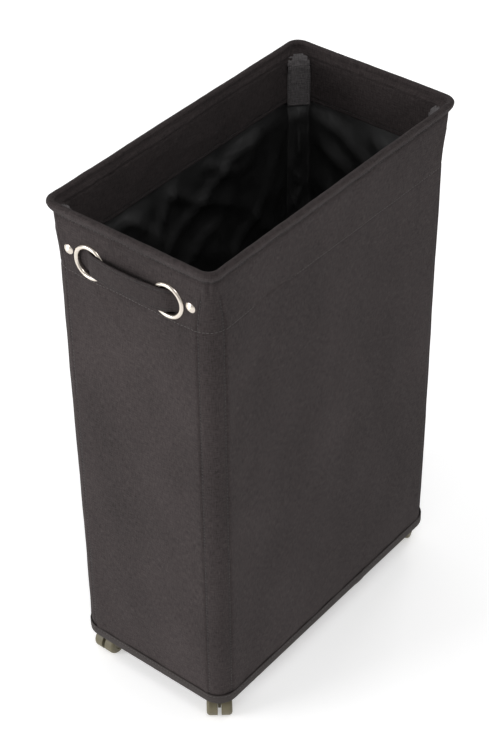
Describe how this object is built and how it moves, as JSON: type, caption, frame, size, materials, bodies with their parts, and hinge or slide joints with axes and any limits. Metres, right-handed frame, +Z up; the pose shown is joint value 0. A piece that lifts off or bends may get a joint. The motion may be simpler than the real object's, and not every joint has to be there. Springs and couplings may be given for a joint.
{
  "type": "rolling laundry bin",
  "caption": "Slim open-topped fabric laundry bin on swivel castors, with a wire rim, corner posts, hook and loop corner tabs and strap handles at its short sides.",
  "frame": {"origin": "on the floor, under the middle of the bag", "axes": "+Z up, +Y along the long side away from the front handle, +X across the short side"},
  "size_m": [0.208, 0.398, 0.6035],
  "materials": {
    "outer_cloth": "matte woven polyester",
    "facing_cloth": "matte woven polyester, inner face",
    "lining": "thin coated cloth with a soft sheen",
    "binding": "ribbed woven tape",
    "hook_loop": "hook and loop tape",
    "steel": "plain",
    "nickel": "polished nickel",
    "board": "hardboard",
    "plug_plastic": "moulded",
    "castor_plastic": "moulded, olive grey"
  },
  "bodies": {
    "bag": {"cover_front": "outer_cloth", "cover_back": "outer_cloth", "cover_left": "outer_cloth", "cover_right": "outer_cloth", "cover_corner_front_left": "outer_cloth", "cover_corner_front_right": "outer_cloth", "cover_corner_back_left": "outer_cloth", "cover_corner_back_right": "outer_cloth", "rim_hem": "outer_cloth", "hem_allowance": "outer_cloth", "rim_wire": "steel", "rim_ferrule": "steel", "mouth_facing": "facing_cloth", "lining_walls": "lining", "lining_floor": "lining", "post_front_left": "steel", "post_front_right": "steel", "post_back_left": "steel", "post_back_right": "steel", "post_plugs": "plug_plastic", "post_channels": "lining", "loop_patches": "hook_loop", "tab_roots": "facing_cloth", "bottom_cloth": "binding", "base_board": "board", "binding_tape": "binding", "handle_tails_front": "outer_cloth", "handle_tails_back": "outer_cloth", "eyelets": "nickel", "eyelet_washers": "nickel", "rivets": "nickel", "castor_plates": "steel", "castor_kingpins": "steel", "castor_screws": "steel"},
    "castor_front_left": {"castor_hood_front_left": "castor_plastic"},
    "wheels_front_left": {"castor_axle_front_left": "steel", "castor_wheels_front_left": "castor_plastic"},
    "castor_front_right": {"castor_hood_front_right": "castor_plastic"},
    "wheels_front_right": {"castor_axle_front_right": "steel", "castor_wheels_front_right": "castor_plastic"},
    "castor_back_left": {"castor_hood_back_left": "castor_plastic"},
    "wheels_back_left": {"castor_axle_back_left": "steel", "castor_wheels_back_left": "castor_plastic"},
    "castor_back_right": {"castor_hood_back_right": "castor_plastic"},
    "wheels_back_right": {"castor_axle_back_right": "steel", "castor_wheels_back_right": "castor_plastic"},
    "tab_front_left": {"tab_front_left": "facing_cloth", "hook_patch_front_left": "hook_loop"},
    "tab_front_right": {"tab_front_right": "facing_cloth", "hook_patch_front_right": "hook_loop"},
    "tab_back_left": {"tab_back_left": "facing_cloth", "hook_patch_back_left": "hook_loop"},
    "tab_back_right": {"tab_back_right": "facing_cloth", "hook_patch_back_right": "hook_loop"},
    "handle_front": {"handle_grip_front": "outer_cloth"},
    "handle_back": {"handle_grip_back": "outer_cloth"}
  },
  "joints": [
    {"name": "castor_swivel_front_left", "type": "hinge", "parent": "bag", "child": "castor_front_left", "pos_m": [-0.07601, -0.16801, 0.028], "axis": [0, 0, 1], "continuous": true},
    {"name": "wheel_spin_front_left", "type": "hinge", "parent": "castor_front_left", "child": "wheels_front_left", "pos_m": [-0.07601, -0.17601, 0.012], "axis": [1, 0, 0], "continuous": true},
    {"name": "castor_swivel_front_right", "type": "hinge", "parent": "bag", "child": "castor_front_right", "pos_m": [0.07601, -0.16801, 0.028], "axis": [0, 0, 1], "continuous": true},
    {"name": "wheel_spin_front_right", "type": "hinge", "parent": "castor_front_right", "child": "wheels_front_right", "pos_m": [0.08115, -0.17414, 0.012], "axis": [0.766, 0.6428, 0], "continuous": true},
    {"name": "castor_swivel_back_left", "type": "hinge", "parent": "bag", "child": "castor_back_left", "pos_m": [-0.07601, 0.16801, 0.028], "axis": [0, 0, 1], "continuous": true},
    {"name": "wheel_spin_back_left", "type": "hinge", "parent": "castor_back_left", "child": "wheels_back_left", "pos_m": [-0.07394, 0.17574, 0.012], "axis": [-0.9659, 0.2588, 0], "continuous": true},
    {"name": "castor_swivel_back_right", "type": "hinge", "parent": "bag", "child": "castor_back_right", "pos_m": [0.07601, 0.16801, 0.028], "axis": [0, 0, 1], "continuous": true},
    {"name": "wheel_spin_back_right", "type": "hinge", "parent": "castor_back_right", "child": "wheels_back_right", "pos_m": [0.07327, 0.17553, 0.012], "axis": [-0.9397, -0.342, 0], "continuous": true},
    {"name": "tab_lift_front_left", "type": "hinge", "parent": "bag", "child": "tab_front_left", "pos_m": [-0.0838, -0.1758, 0.582], "axis": [0.7071, -0.7071, 0], "range_deg": [0, 140]},
    {"name": "tab_lift_front_right", "type": "hinge", "parent": "bag", "child": "tab_front_right", "pos_m": [0.0838, -0.1758, 0.582], "axis": [0.7071, 0.7071, 0], "range_deg": [0, 140]},
    {"name": "tab_lift_back_left", "type": "hinge", "parent": "bag", "child": "tab_back_left", "pos_m": [-0.0838, 0.1758, 0.582], "axis": [-0.7071, -0.7071, 0], "range_deg": [0, 140]},
    {"name": "tab_lift_back_right", "type": "hinge", "parent": "bag", "child": "tab_back_right", "pos_m": [0.0838, 0.1758, 0.582], "axis": [-0.7071, 0.7071, 0], "range_deg": [0, 140]},
    {"name": "handle_pull_front", "type": "slide", "parent": "bag", "child": "handle_front", "axis": [0, -1, 0], "range_m": [0, 0.012], "stiffness_N_per_m": 60},
    {"name": "handle_pull_back", "type": "slide", "parent": "bag", "child": "handle_back", "axis": [0, 1, 0], "range_m": [0, 0.012], "stiffness_N_per_m": 60}
  ]
}
